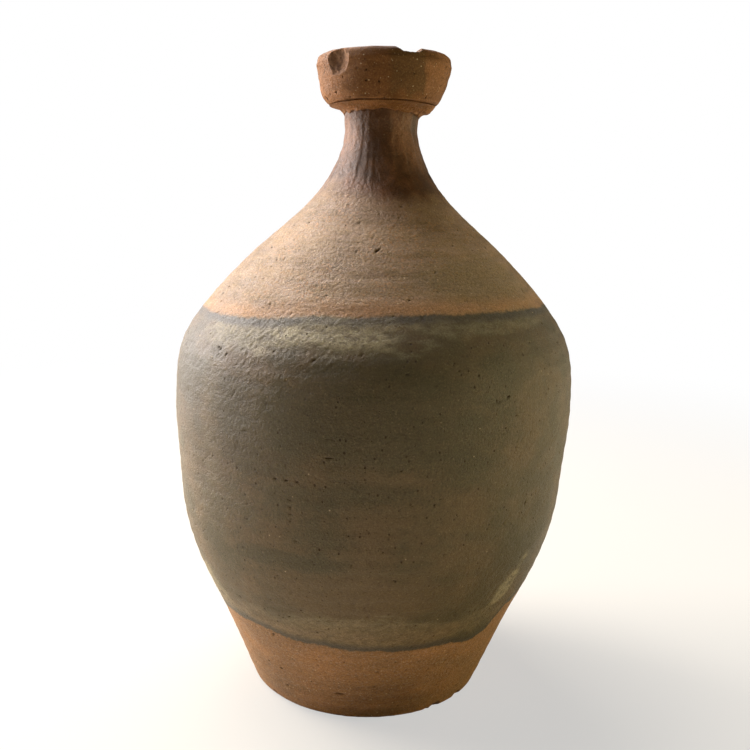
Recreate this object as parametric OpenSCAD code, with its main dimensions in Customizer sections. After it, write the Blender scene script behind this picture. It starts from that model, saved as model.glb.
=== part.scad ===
// Large stoneware sake bottle with a narrow neck and a cup-shaped mouth.
// It is built up from a floor slab and a stack of clay courses. Each course is luted to the one below
// it with a slanting lap. The neck ends in a spigot that seats in the floor of a separately thrown
// mouth cup, and a coil of clay is smoothed round that joint as a collar.
// Millimetres, +Z up. The origin is the centre of the foot's underside, and the front faces -Y.

/* [Overall] */
// Height from the ground to the top of the rim
height = 400; // [380:1:430]
// Radius at the widest part of the belly
belly_r = 127.5; // [118:0.5:136]
// Radius of the foot at the ground, before its edge is rounded
foot_r = 77; // [72:0.5:84]
// Rounding of the foot's lower edge
foot_edge = 3; // [1:0.5:5]

/* [Clay thickness] */
// Wall where the lowest course stands on the slab
foot_wall = 11; // [9:0.5:13]
// Wall of the belly, the shoulder and the neck
wall = 8; // [6.5:0.5:9]
// Slant of each luted lap: how far down the wall it runs, from the outside to the inside
lap = 6; // [2:0.5:8]

/* [Neck] */
// Outside radius of the neck at its waist
waist_r = 22.5; // [21:0.5:24]
// Outside radius of the neck under the mouth cup
neck_top_r = 23; // [22:0.5:24.5]
// Radius of the straight throat that a stopper fits
throat_r = 14; // [11:0.5:15]
// Radius of the spigot that seats in the mouth cup
spigot_r = 20; // [18.5:0.5:21]

/* [Mouth cup] */
// Height of the cup from its underside to its rim
cup_h = 29; // [26:1:34]
// Radius of the cup's underside, where the collar ends
cup_foot_r = 33; // [31:0.5:35]
// Largest outside radius of the cup, just below the rim
cup_r = 42; // [40:0.5:46]
// Thickness of the cup's wall at the rim
rim_t = 7.5; // [6:0.5:9]
// Thickness of the cup's floor round the throat
cup_floor = 7; // [5:0.5:9]

/* [Luting collar] */
// Height of the collar up the neck
collar_h = 7; // [5:0.5:9]
// Thickness of the collar's lower edge
collar_edge = 1; // [0.6:0.1:1.6]

/* [Worn rim] */
// Direction of the flake lost from the rim, from +X towards +Y
flake_angle = 228; // [200:1:245]
// Radius of the flake's hollow
flake_r = 11; // [8:0.5:14]
// Depth of the flake's hollow in the cup's wall
flake_depth = 4; // [2:0.5:5]
// Direction of the shallow notch worn in the rim, from +X towards +Y
notch_angle = 293; // [275:1:310]
// Width of the notch along the rim
notch_w = 20; // [12:1:26]
// Depth of the notch
notch_depth = 3; // [1:0.5:4]

/* [Hidden] */
$fn = 96;

// Heights of the joints on the outside of the wall, from the ground up
slab_top = 0.02 * height;
foot_top = 0.145 * height;
lower_belly_top = 0.3 * height;
belly_top = 0.475 * height;
upper_belly_top = 0.625 * height;
shoulder_top = 0.78 * height;
cup_z = height - cup_h;
collar_z = cup_z - collar_h;

// Neck and mouth
waist_z = collar_z - 10;                      // height of the neck's waist
throat_z = 0.87 * height;                     // where the straight throat begins
throat_ease = 14;                             // drop over which the throat starts to open out
spigot_top = cup_z + cup_floor;               // level with the cup's floor
cup_turn = [5, 5];                            // how the cup's underside turns up into its wall
cup_lean = [1.5, 13];                         // in from the widest radius, and down from the rim
rim_ease = 2;                                 // height over which the wall runs into the round rim
rim_inset = 0.5;                              // how far the round rim sits inside the widest radius
bowl_wall = [1, 12];                          // in from the rim's inner edge, and down from the rim
bowl_turn = [2.5, 1];                         // how the cup's inside turns in to its floor
bowl_floor_r = spigot_r + 4;                  // radius of the flat floor
collar_cove = [2.5, 1.5];                     // out from the neck, and down from the cup
flake_z = height - 7;                         // height of the middle of the flake's hollow

// Outline of the outside as [radius, height], foot to neck. A smooth curve runs through these.
OUTLINE = [
  [foot_r, 0],
  [0.695 * belly_r, 0.075 * height],
  [0.785 * belly_r, foot_top],
  [0.893 * belly_r, 0.225 * height],
  [0.959 * belly_r, lower_belly_top],
  [0.983 * belly_r, 0.39 * height],
  [belly_r, belly_top],
  [0.969 * belly_r, 0.5625 * height],
  [0.85 * belly_r, upper_belly_top],
  [0.635 * belly_r, 0.7 * height],
  [0.355 * belly_r, shoulder_top],
  [waist_r + 0.062 * belly_r, 0.83 * height],
  [waist_r, waist_z],
  [neck_top_r, collar_z]
];

step_z = 4;       // height between the points of an outline
curve_steps = 8;  // steps in a bend or a rounded edge
outlast = 1;      // how far a cutter runs past what it cuts

clay_orange = [0.6, 0.42, 0.28];
clay_tan = [0.62, 0.47, 0.35];
wash_grey = [0.36, 0.33, 0.25];
neck_brown = [0.33, 0.22, 0.16];
mouth_brown = [0.53, 0.35, 0.21];

// Slope of the outline at station i, from its neighbours
function station_slope(i) =
  let (a = OUTLINE[max(i - 1, 0)], b = OUTLINE[min(i + 1, len(OUTLINE) - 1)])
  (b[0] - a[0]) / (b[1] - a[1]);

// The stretch of the outline that holds height z
function stretch_of(z, i = 0) =
  i >= len(OUTLINE) - 2 || z < OUTLINE[i + 1][1] ? i : stretch_of(z, i + 1);

// Outside radius at height z, by a cubic between the stations on either side
function outer_r(z) =
  let (
    i = stretch_of(z),
    a = OUTLINE[i],
    b = OUTLINE[i + 1],
    h = b[1] - a[1],
    t = (z - a[1]) / h,
    slope_a = station_slope(i) * h,
    slope_b = station_slope(i + 1) * h
  )
  (2 * t ^ 3 - 3 * t ^ 2 + 1) * a[0] + (t ^ 3 - 2 * t ^ 2 + t) * slope_a
    + (3 * t ^ 2 - 2 * t ^ 3) * b[0] + (t ^ 3 - t ^ 2) * slope_b;

function outer_slope(z) = outer_r(z + 0.5) - outer_r(z - 0.5);

// The wall thins evenly from the foot to the top of the lower belly, and is even above that
function wall_at(z) = wall + (foot_wall - wall) * max(0, 1 - z / lower_belly_top);

// Point on the inside of the wall, square in from the outside at height z
function inner_point(z) =
  let (m = outer_slope(z), t = wall_at(z) / sqrt(1 + m * m))
  [outer_r(z) - t, z + t * m];

// Heights from a to b in even steps of about step_z
function heights(a, b) =
  let (n = max(1, round(abs(b - a) / step_z)))
  [for (i = [0 : n]) a + (b - a) * i / n];

// Points round an edge of radius r, centred on c, from angle a to angle b
function round_edge(c, r, a, b) =
  [for (i = [0 : curve_steps]) let (v = a + (b - a) * i / curve_steps) c + r * [cos(v), sin(v)]];

// Smooth bend that leaves a towards p and reaches b from p
function bend(a, p, b) =
  [for (i = [0 : curve_steps]) let (t = i / curve_steps) (1 - t) ^ 2 * a + 2 * t * (1 - t) * p + t ^ 2 * b];

// A ring of wall between the joints at heights a and b, with its lower and upper laps
module course(a, b, lap_a = lap, lap_b = lap) {
  rotate_extrude()
    polygon(concat(
      [for (z = heights(a, b)) [outer_r(z), z]],
      [for (z = heights(b - lap_b, a - lap_a)) inner_point(z)]
    ));
}

module base_slab() {
  seat = inner_point(slab_top);
  color(clay_orange)
    rotate_extrude()
      polygon(concat(
        [[0, 0]],
        round_edge([foot_r - foot_edge, foot_edge], foot_edge, -90, -20),
        [[outer_r(slab_top), slab_top], seat, [0, seat[1]]]
      ));
}

module foot_course() {
  color(clay_orange) course(slab_top, foot_top, lap_a = 0);
}

module lower_belly_course() {
  color(wash_grey) course(foot_top, lower_belly_top);
}

module belly_course() {
  color(wash_grey) course(lower_belly_top, belly_top);
}

module upper_belly_course() {
  color(wash_grey) course(belly_top, upper_belly_top);
}

module shoulder_course() {
  color(clay_tan) course(upper_belly_top, shoulder_top);
}

// The neck runs from the shoulder's lap to the top of the spigot, round a straight throat
module neck() {
  color(neck_brown)
    rotate_extrude()
      polygon(concat(
        [for (z = heights(shoulder_top, collar_z)) [outer_r(z), z]],
        [[neck_top_r, cup_z], [spigot_r, cup_z], [spigot_r, spigot_top], [throat_r, spigot_top]],
        bend([throat_r, throat_z], [throat_r, throat_z - throat_ease], inner_point(shoulder_top - lap))
      ));
}

// The collar is a coil of clay pressed into the corner between the neck and the cup
module luting_collar() {
  lower_edge = [neck_top_r + collar_edge, collar_z];
  cove = [neck_top_r + collar_cove[0], cup_z - collar_cove[1]];
  color(mouth_brown)
    rotate_extrude()
      polygon(concat(
        [[neck_top_r, cup_z], [neck_top_r, collar_z]],
        bend(lower_edge, cove, [cup_foot_r, cup_z])
      ));
}

// Half section of the cup, round the outside, over the rim and down the inside
module cup_section() {
  edge = rim_t / 2;
  rim_c = [cup_r - rim_inset - edge, height - edge];
  underside = [cup_foot_r, cup_z];
  bowl_top = [rim_c[0] - edge - bowl_wall[0], height - bowl_wall[1]];
  bowl_foot = [bowl_floor_r, spigot_top];
  polygon(concat(
    [[spigot_r, cup_z]],
    bend(underside, underside + cup_turn, [cup_r - cup_lean[0], height - cup_lean[1]]),
    [[cup_r, rim_c[1] - rim_ease]],
    round_edge(rim_c, edge, 15, 180),
    bend(bowl_top, [bowl_top[0] - bowl_turn[0], spigot_top + bowl_turn[1]], bowl_foot),
    [[spigot_r, spigot_top]]
  ));
}

// Hollow left by the flake: a ball that reaches into the rim's outer edge
module flake() {
  rotate([0, 0, flake_angle])
    translate([cup_r + flake_r - flake_depth, 0, flake_z])
      sphere(r = flake_r);
}

// The notch has sloping ends and a flat bottom, and runs right across the rim
module notch() {
  half = notch_w / 2;
  slope = 1.5 * notch_depth;
  rotate([0, 0, notch_angle])
    translate([cup_r - 2 * rim_t, 0, height])
      rotate([90, 0, 90])
        linear_extrude(height = 3 * rim_t)
          polygon([
            [-half, outlast],
            [-half, 0],
            [slope - half, -notch_depth],
            [half - slope, -notch_depth],
            [half, 0],
            [half, outlast]
          ]);
}

module mouth_cup() {
  color(mouth_brown)
    difference() {
      rotate_extrude() cup_section();
      flake();
      notch();
    }
}

base_slab();
foot_course();
lower_belly_course();
belly_course();
upper_belly_course();
shoulder_course();
neck();
luting_collar();
mouth_cup();
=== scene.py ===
import itertools
import math
from collections import namedtuple

import bpy
import numpy as np
from mathutils import Matrix, Vector
from mathutils.bvhtree import BVHTree


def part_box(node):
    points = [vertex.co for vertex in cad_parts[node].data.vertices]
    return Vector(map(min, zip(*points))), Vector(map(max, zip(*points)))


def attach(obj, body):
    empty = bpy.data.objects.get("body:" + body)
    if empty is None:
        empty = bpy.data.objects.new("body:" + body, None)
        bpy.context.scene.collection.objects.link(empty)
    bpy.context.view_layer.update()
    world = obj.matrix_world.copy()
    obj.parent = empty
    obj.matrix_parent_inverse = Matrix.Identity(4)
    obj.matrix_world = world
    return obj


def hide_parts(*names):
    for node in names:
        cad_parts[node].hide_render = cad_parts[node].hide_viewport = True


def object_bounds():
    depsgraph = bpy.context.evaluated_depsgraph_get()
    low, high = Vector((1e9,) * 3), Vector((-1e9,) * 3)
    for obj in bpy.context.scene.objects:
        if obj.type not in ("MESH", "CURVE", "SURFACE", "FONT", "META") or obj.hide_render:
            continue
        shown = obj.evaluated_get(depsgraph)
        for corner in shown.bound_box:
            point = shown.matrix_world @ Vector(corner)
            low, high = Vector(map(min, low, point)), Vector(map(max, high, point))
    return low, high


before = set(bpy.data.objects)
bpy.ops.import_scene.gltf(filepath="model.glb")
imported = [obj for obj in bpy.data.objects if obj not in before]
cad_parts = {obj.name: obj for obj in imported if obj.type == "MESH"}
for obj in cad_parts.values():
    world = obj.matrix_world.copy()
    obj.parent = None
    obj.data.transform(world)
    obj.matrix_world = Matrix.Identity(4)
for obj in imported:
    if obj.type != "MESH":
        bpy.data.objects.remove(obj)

# The looks of the stoneware bottle, in metres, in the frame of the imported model.
# Every clay section is rebuilt as a dense lathe of its CAD outline. One relief function, the same for
# all sections, then gives it the hand-made surface, so neighbours still meet along their joints.
# Angles run round the bottle in degrees from the front (-Y), positive towards +X.

MM = 0.001
SEED = 7
cad_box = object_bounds()
top = cad_box[1].z

# ------------------------------------------------------------------------------------ joint heights


def seam(below, above):
    """A joint's height on the outside of the wall, and on the inside."""
    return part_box(below)[1].z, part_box(above)[0].z


slab_seam = (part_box("foot_course")[0].z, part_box("base_slab")[1].z)
foot_seam = seam("foot_course", "lower_belly_course")
lower_belly_seam = seam("lower_belly_course", "belly_course")
belly_seam = seam("belly_course", "upper_belly_course")
upper_belly_seam = seam("upper_belly_course", "shoulder_course")
shoulder_seam = seam("shoulder_course", "neck")
collar_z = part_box("luting_collar")[0].z
cup_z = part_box("mouth_cup")[0].z
spigot_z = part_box("neck")[1].z

# -------------------------------------------------------------------------------------- CAD outline
AROUND = 800            # points round every section
SKIN_STEP = 1.0 * MM    # spacing of the rows on the outside
INSIDE_STEP = 5 * MM    # spacing of the rows on the inside of the wall
LAP_ROWS = 4            # rows across each joint face
PROBE_STEP = 1 * MM     # spacing of the probes that read the CAD outline
PROBE_BLUR = 2.5        # smoothing of what they read, in probes
REACH = 0.5             # far outside the bottle


def probe_tree(nodes):
    """A ray-casting tree over the surfaces of some CAD nodes."""
    points, faces = [], []
    for name in nodes:
        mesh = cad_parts[name].data
        first = len(points)
        points += [v.co.copy() for v in mesh.vertices]
        faces += [[first + i for i in p.vertices] for p in mesh.polygons]
    return BVHTree.FromPolygons(points, faces)


def outer_radius(tree, z):
    return tree.ray_cast(Vector((0, REACH, z)), Vector((0, -1, 0)))[0].y


def inner_radius(tree, z):
    return tree.ray_cast(Vector((0, 0, z)), Vector((0, 1, 0)))[0].y


def blurred(values, width):
    """The values smoothed by a bell curve, with their ends carried on in a straight line."""
    pad = int(4 * width)
    kernel = np.exp(-0.5 * (np.arange(-pad, pad + 1) / width) ** 2)
    before = 2 * values[0] - values[pad:0:-1]
    after = 2 * values[-1] - values[-2:-pad - 2:-1]
    return np.convolve(np.concatenate([before, values, after]), kernel / kernel.sum(), "valid")


WALL_NODES = [
    "base_slab", "foot_course", "lower_belly_course", "belly_course", "upper_belly_course",
    "shoulder_course", "neck",
]
wall_tree = probe_tree(WALL_NODES)
skin_z = np.arange(4 * MM, collar_z - 0.5 * MM, PROBE_STEP)
skin_r = blurred(np.array([outer_radius(wall_tree, z) for z in skin_z]), PROBE_BLUR)
skin_slope = np.gradient(skin_r, skin_z)
inside_z = np.arange(slab_seam[1] + 0.5 * MM, spigot_z - 0.5 * MM, PROBE_STEP)
inside_r = blurred(np.array([inner_radius(wall_tree, z) for z in inside_z]), PROBE_BLUR)


def skin(z):
    return np.interp(z, skin_z, skin_r)


def inside(z):
    return np.interp(z, inside_z, inside_r)


# --------------------------------------------------------------------------------- noise and curves
def hashed(cell, seed):
    """A number from 0 to 1 for each whole-number cell, always the same one."""
    h = cell[..., 0].astype(np.uint32) * np.uint32(374761393)
    h += cell[..., 1].astype(np.uint32) * np.uint32(668265263)
    h += cell[..., 2].astype(np.uint32) * np.uint32(2246822519)
    h += np.uint32(seed * 3266489917 & 0xFFFFFFFF)
    h = (h ^ (h >> np.uint32(15))) * np.uint32(2654435761)
    h = (h ^ (h >> np.uint32(13))) * np.uint32(3266489917)
    h ^= h >> np.uint32(16)
    return h / float(0xFFFFFFFF)


def noise(points, size, seed):
    """Smooth noise from -1 to 1 whose lumps are about size across (a number, or one for each axis)."""
    q = points / np.asarray(size, float)
    cell = np.floor(q).astype(np.int64)
    f = q - cell
    f = f * f * (3 - 2 * f)
    total = 0
    for corner in itertools.product((0, 1), repeat=3):
        share = 1
        for axis in range(3):
            share = share * (f[..., axis] if corner[axis] else 1 - f[..., axis])
        total = total + share * hashed(cell + np.array(corner), SEED + seed)
    return 2 * total - 1


def rise(x, low, high):
    """0 below low, 1 above high, and an even curve between."""
    t = np.clip((x - low) / (high - low), 0, 1)
    return t * t * (3 - 2 * t)


def turn(angles, centre):
    """Angles from centre, from -180 to 180 degrees."""
    return (angles - centre + 180) % 360 - 180


def near(angles, centre, spread):
    """1 at the centre, falling smoothly to about a third at spread degrees from it."""
    return np.exp(-(turn(angles, centre) / spread) ** 2)


def round_curve(stations, angles):
    """A value for every angle, easing from station to station right round the bottle."""
    known = np.array(stations)
    known = np.concatenate([known[-1:] - (360, 0), known, known[:1] + (360, 0)])
    i = np.clip(np.searchsorted(known[:, 0], angles, "right") - 1, 0, len(known) - 2)
    t = (angles - known[i, 0]) / (known[i + 1, 0] - known[i, 0])
    return known[i, 1] + (known[i + 1, 1] - known[i, 1]) * t * t * (3 - 2 * t)


def polar(r, z, angles):
    """Points at radius r and height z, at these angles from the front."""
    a = np.radians(angles)
    return np.stack(np.broadcast_arrays(r * np.sin(a), -r * np.cos(a), z), axis=-1)


# ------------------------------------------------------------------------------ marks of the making
# A mark is a dent: its angle and height, half its length along the tilt, half its width, its tilt in
# degrees up from level, and its depth. Sizes and depths are in millimetres.
Mark = namedtuple("Mark", "angle height length width tilt depth")

# The larger marks. Their places were projected from the photo by a scratch program, then thinned and
# rounded to 5 degrees and 5 mm or so. They weren't chosen as a design.
ROW_OF_PITS = [Mark(-20, height, 1.1, 0.7, 60, 0.5) for height in (142, 146, 150, 154)]
ROW_OF_GOUGES = [Mark(angle, 165, 1.7, 0.6, -30, 0.6) for angle in (-24, -21, -18)]

GOUGES = ROW_OF_PITS + ROW_OF_GOUGES + [
    Mark(0, 285, 2.4, 0.6, 50, 0.8),        # on the shoulder
    Mark(10, 260, 0.9, 0.6, 30, 0.7),
    Mark(-10, 180, 3.6, 0.7, 5, 0.5),       # across the middle of the belly
    Mark(-10, 190, 3.6, 0.6, 0, 0.3),
    Mark(-15, 230, 1.5, 0.7, 40, 0.5),      # the torn place at the upper left
    Mark(-45, 230, 1.3, 0.7, 30, 0.5),
    Mark(35, 210, 1.6, 0.7, 20, 0.6),       # the right of the belly
    Mark(45, 145, 1.7, 0.7, 60, 0.6),
    Mark(-10, 20, 3.3, 0.7, -5, 1.0),       # on the foot
    Mark(-35, 30, 1.7, 0.6, -10, 0.7),
]

PIT_COUNT = 1100            # small pits where grit has come away; those drawn on the neck are left out
PIT_RADIUS = 0.62           # their usual radius in millimetres


def scattered_pits():
    random = np.random.default_rng(SEED)
    pits = []
    for _ in range(PIT_COUNT):
        radius = PIT_RADIUS * random.lognormal(0, 0.22)
        height = random.uniform(6, 396)
        if shoulder_seam[0] < height * MM < cup_z:
            continue
        pits.append(Mark(
            angle=random.uniform(-180, 180),
            height=height,
            length=radius * random.uniform(1.0, 1.9),
            width=radius,
            tilt=random.normal(10, 35),
            depth=random.uniform(0.2, 0.55),
        ))
    return pits


def dents(r, z, w, angles, marks):
    """How deep every point of the outside lies in a mark, and how much painted shade it gets there.

    r, z and w are for rows, and angles for columns. Narrow, deep marks get the most painted shade inside.
    """
    depth = np.zeros((len(z), len(angles)))
    dark = np.zeros_like(depth)
    steepness = np.hypot(1, np.interp(z, skin_z, skin_slope))
    for mark in marks:
        reach = 2.2 * max(mark.length, mark.width) * MM
        up = (z - mark.height * MM) * steepness
        rows = np.flatnonzero((abs(up) < reach) & (w > 0.5))
        if not rows.size:
            continue
        columns = np.flatnonzero(abs(turn(angles, mark.angle)) < np.degrees(reach / r[rows].min()))
        up = up[rows][:, None]
        across = np.radians(turn(angles[columns], mark.angle))[None, :] * r[rows][:, None]
        tilt = math.radians(mark.tilt)
        u = (across * math.cos(tilt) + up * math.sin(tilt)) / (mark.length * MM)
        v = (up * math.cos(tilt) - across * math.sin(tilt)) / (mark.width * MM)
        shape = np.exp(-(u * u + v * v) ** 1.4)
        block = np.ix_(rows, columns)
        depth[block] += mark.depth * MM * shape
        dark[block] = np.maximum(dark[block], min(1, mark.depth / mark.width) * shape)
    return depth, dark


# -------------------------------------------------------------------------------- hand-made surface
LEAN_FOOT = -3.3 * MM       # how far the foot's centre lies off the axis, towards -X
LEAN_TOP = 1.9 * MM         # and the rim's centre


def lean(z):
    return LEAN_FOOT + (LEAN_TOP - LEAN_FOOT) * z / top


def unevenness(p, z):
    """The slow bumps, the shallow dents and the throwing rings that run through the whole wall."""
    slow = 0.7 * noise(p, 90 * MM, 1) + 0.3 * noise(p, 28 * MM, 2)
    phase = z / (9.5 * MM) + 0.5 * noise(p, 60 * MM, 3)
    rings = 0.09 * np.sin(2 * math.pi * phase) * (1 + noise(p, 50 * MM, 4))
    return (slow + rings) * MM


SCRAPE_TURN = 17            # how steeply the scraping facets wind round the belly, in radians per metre
SCRAPE_DEPTH = 0.32 * MM
DRAG_TURN = 8               # the same for the wrinkles
ROUGH_ANGLE, ROUGH_HEIGHT = -40, 0.230      # the middle of the place where the skin was dragged most
ROUGH_SPREAD = 32, 26 * MM                  # how far it reaches, in degrees and in height


def scraped(r, z, angles):
    """Shallow facets left by scraping the lower belly, with soft crests that slant up to the right."""
    slanted = polar(r, z, angles - np.degrees(SCRAPE_TURN * z))
    crests = 0.45 - np.abs(noise(slanted, 28 * MM, 26))
    return SCRAPE_DEPTH * crests * rise(z, 0.05, 0.08) * (1 - rise(z, 0.16, 0.22))


def dragged(p, r, z, angles):
    """Wrinkles where the wet skin was dragged, small lumps, and level wiping marks."""
    slanted = polar(r, z, angles - np.degrees(DRAG_TURN * z))
    wrinkles = 0.6 * noise(slanted, (1.9 * MM, 1.9 * MM, 3.4 * MM), 5)
    wrinkles += 0.6 * noise(p, 1.7 * MM, 6)
    creases = -np.abs(noise(slanted, (3 * MM, 3 * MM, 6 * MM), 7))
    lumps = 0.4 * noise(p, 5 * MM, 8)
    wiping = 0.35 * noise(p, (18 * MM, 18 * MM, 2.4 * MM), 9)
    patchy = 0.75 + 0.5 * noise(p, 35 * MM, 10)
    worst = near(angles, ROUGH_ANGLE, ROUGH_SPREAD[0])
    worst = worst * np.exp(-((z - ROUGH_HEIGHT) / ROUGH_SPREAD[1]) ** 2)
    shoulder = rise(z, 0.25, 0.262) * (1 - rise(z, 0.3, 0.33))
    fine = (wrinkles + 0.4 * creases) * (0.10 + 0.15 * worst) + lumps * (0.07 + 0.06 * worst)
    return (fine * patchy + wiping * (0.12 + 0.26 * shoulder)) * MM


FOLDS = 27                  # upright folds pressed into the neck as it was collared in
FOLD_DEPTH = 0.37 * MM
FOLD_SPREAD = 22 * MM       # height over which a fold fades in
NECK_TURN = 14              # how steeply the fine marks across the folds wind, in radians per metre
NECK_SWELL = 1.1 * MM       # how far the top of the neck swells on its left
NECK_SWELL_SPREAD = 55      # in degrees


def neck_folds(p, r, z, angles):
    """Overlapping upright folds: each rises gently from the left and drops sharply at its crease."""
    random = np.random.default_rng(SEED)
    spacing = random.uniform(0.5, 1.5, FOLDS)
    edges = -180 + 360 * np.cumsum(spacing) / spacing.sum()
    along = (z - shoulder_seam[0]) / (collar_z - shoulder_seam[0])
    wobble = 2.6 * noise(p, (60 * MM, 60 * MM, 9 * MM), 11)
    total = 0
    for edge in edges:
        slant = random.uniform(-6, 6)
        depth = random.uniform(0.3, 1.0)
        foot = random.uniform(-14, 12) * MM + shoulder_seam[0]
        off = np.radians(turn(angles, edge + slant * along + wobble)) * r
        crease = np.exp(-((off - 0.5 * MM) / (1.5 * MM)) ** 2)
        lip = np.where(off < 0, np.exp(off / (4.5 * MM)), 0) * rise(-off, 0, 2.4 * MM)
        total = total + depth * rise(z, foot, foot + FOLD_SPREAD) * (1.1 * lip - 0.2 * crease)
    slanted = polar(r, z, angles + np.degrees(NECK_TURN * z))
    across = 0.15 * MM * noise(slanted, (2.0 * MM, 2.0 * MM, 3.6 * MM), 24)
    across = across * rise(z, shoulder_seam[0] - 12 * MM, shoulder_seam[0] + 10 * MM)
    swell = NECK_SWELL * near(angles, SWELL_ANGLE, NECK_SWELL_SPREAD) * rise(z, 0.345, 0.358)
    return swell + FOLD_DEPTH * total + across


# Places in section are (r, z)
CUP_FOOT = (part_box("luting_collar")[1].x, cup_z)        # where the collar runs out under the cup
CUP_FOOT_FACING = np.array([0.5, -0.87])                # the way the clay faces there
GROOVE_WIDTH = 1.1 * MM
GROOVE_DEPTH = 0.45 * MM
SAG = 3.3 * MM                                          # how far the clay hangs down on the right
SAG_AT = (CUP_FOOT[0] - 4.6 * MM, cup_z - 3.4 * MM)     # where it hangs most
SAG_ANGLE, SAG_SPREAD = 84, 30                          # in degrees
ROUNDING = 0.9 * MM                                     # how far the corner above it is worn round
SWELL = 1.4 * MM                                        # how far the cup swells on its left
SWELL_Z = 0.377                                         # the height where it swells most
SWELL_ANGLE, SWELL_SPREAD = -90, 40                     # in degrees
FULLNESS = 0.7 * MM                                     # how much fuller the collar is than its CAD cove


def from_cup_foot(r, z):
    return np.hypot(r - CUP_FOOT[0], z - CUP_FOOT[1])


def cup_foot_relief(p, r, z, angles):
    """The uneven foot of the cup, with the groove and the ridge where the smeared collar runs out."""
    off = from_cup_foot(r, z)
    from_sag = np.hypot(r - SAG_AT[0], z - SAG_AT[1])
    sag = SAG * np.exp(-(from_sag / (3.8 * MM)) ** 2) - ROUNDING * np.exp(-(off / (1.6 * MM)) ** 2)
    sag = sag * near(angles, SAG_ANGLE, SAG_SPREAD)
    swell = SWELL * near(angles, SWELL_ANGLE, SWELL_SPREAD) * np.exp(-((z - SWELL_Z) / (5 * MM)) ** 2)
    front = 1 - rise(abs(turn(angles, -4)), 28, 62)
    uneven = np.maximum(1 + 1.6 * noise(p, 8 * MM, 25), 0.15)
    groove = GROOVE_DEPTH * (0.15 + 0.85 * front) * uneven * np.exp(-(off / GROOVE_WIDTH) ** 2)
    ridge = np.where(z > cup_z, np.exp(-((off - 1.9 * MM) / (1.1 * MM)) ** 2), 0)
    return sag + swell + (0.4 * front + 0.1) * uneven * ridge * MM - groove


def wall_relief(p, r, z, w, angles):
    """How far a wall's surface stands out from its CAD outline. w is 1 outside and 0 inside."""
    folds = neck_folds(p, r, z, angles) if z.max() > shoulder_seam[0] - 20 * MM else 0
    return unevenness(p, z) + w * (dragged(p, r, z, angles) + scraped(r, z, angles) + folds)


def mouth_relief(p, r, z, w, angles):
    """The same for the cup."""
    fine = 0.6 * dragged(p, r, z, angles) + 0.2 * MM * noise(p, (6 * MM, 6 * MM, 3 * MM), 13)
    return unevenness(p, z) + w * (fine + cup_foot_relief(p, r, z, angles))


def collar_relief(p, r, z, w, angles):
    """The smeared coil, with its thumbed lower edge."""
    near_edge = 1 - rise(z, collar_z + 0.5 * MM, collar_z + 5 * MM)
    right = near(angles, SAG_ANGLE, SAG_SPREAD)
    thumbed = 0.6 * noise(p, 9 * MM, 22) + 0.5 * np.abs(noise(p, 4 * MM, 23))
    thumbed = thumbed * (1 - right) - 0.7 * right
    full = FULLNESS * rise(r, skin(collar_z) + 0.5 * MM, skin(collar_z) + 3 * MM)
    return mouth_relief(p, r, z, w, angles) + w * (thumbed * near_edge * MM + full)


# How far the collar's lower edge was smeared up the neck, in metres at angles round it
COLLAR_LIFT = [(-150, 0.0015), (-60, 0.0022), (-30, 0.0032), (8, 0.0032), (40, 0.0022), (75, 0.0008)]
COLLAR_LIFT_MOST = 4.4 * MM


def lifted(p, q, angles):
    """The collar's points with its lower edge smeared up the neck, and torn a little."""
    torn = 0.9 * noise(p, 4 * MM, 27) + 1.1 * np.abs(noise(p, (1.8 * MM, 1.8 * MM, 9 * MM), 28)) - 0.45
    lift = round_curve(COLLAR_LIFT, angles) + torn * MM
    lift = np.clip(lift, 0, COLLAR_LIFT_MOST) / (cup_z - collar_z)
    q = q.copy()
    below = np.maximum(cup_z - q[..., 2], 0)
    q[..., 2] += below * lift
    return q, 0


# ---------------------------------------------------------------------------------- what has broken
# A bite is a ball that has taken clay away: angle, height, distance of its centre from the axis, and
# radius, the last three in millimetres.
Bite = namedtuple("Bite", "angle height distance radius")

# On the front, the places were projected from the photo and then changed.
FLAKE = Bite(-41.5, 392.8, 49.6, 12.2)
BITES = [
    FLAKE,
    Bite(-36.5, 388.0, 46.0, 6.6),          # the flake's smaller hollows
    Bite(-46.5, 387.0, 46.4, 7.0),
    Bite(50.5, -1.5, 81.0, 6.5),            # chips from the foot's lower edge
    Bite(35.5, -2.0, 81.0, 7.0),
    Bite(31.0, -3.0, 80.5, 6.0),
    Bite(-47.0, 1.0, 82.0, 5.5),
    Bite(-12.0, -3.5, 80.0, 5.5),
    Bite(128.0, -2.0, 81.5, 6.5),
    Bite(-150.0, -3.0, 81.0, 6.0),
    Bite(160.0, 401.5, 43.5, 3.5),
]


def bitten(p, q):
    """The points q with the bites taken out of them, and how much each point is part of a break."""
    broken = np.zeros(q.shape[:-1])
    for bite in BITES:
        centre = polar(bite.distance * MM, bite.height * MM, bite.angle)
        ripple = 1 + 0.05 * noise(p, 3.2 * MM, 14) + 0.03 * noise(p, 1.6 * MM, 15)
        radius = bite.radius * MM * ripple
        away = q - centre
        distance = np.linalg.norm(away, axis=-1)
        if not (distance < radius).any():
            continue
        pushed = centre + away * (radius / np.maximum(distance, 1e-6))[..., None]
        q = np.where((distance < radius)[..., None], pushed, q)
        broken = np.maximum(broken, 1 - rise(distance / radius, 0.97, 1.03))
    return q, broken


NOTCH_FROM, NOTCH_TO = 7.5, 35.0        # the notch worn in the rim, in degrees
NOTCH_DEPTH = 3.0 * MM
NOTCH_SLOPES = 9.0, 6.5                 # how far its left and right ends slope, in degrees


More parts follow.
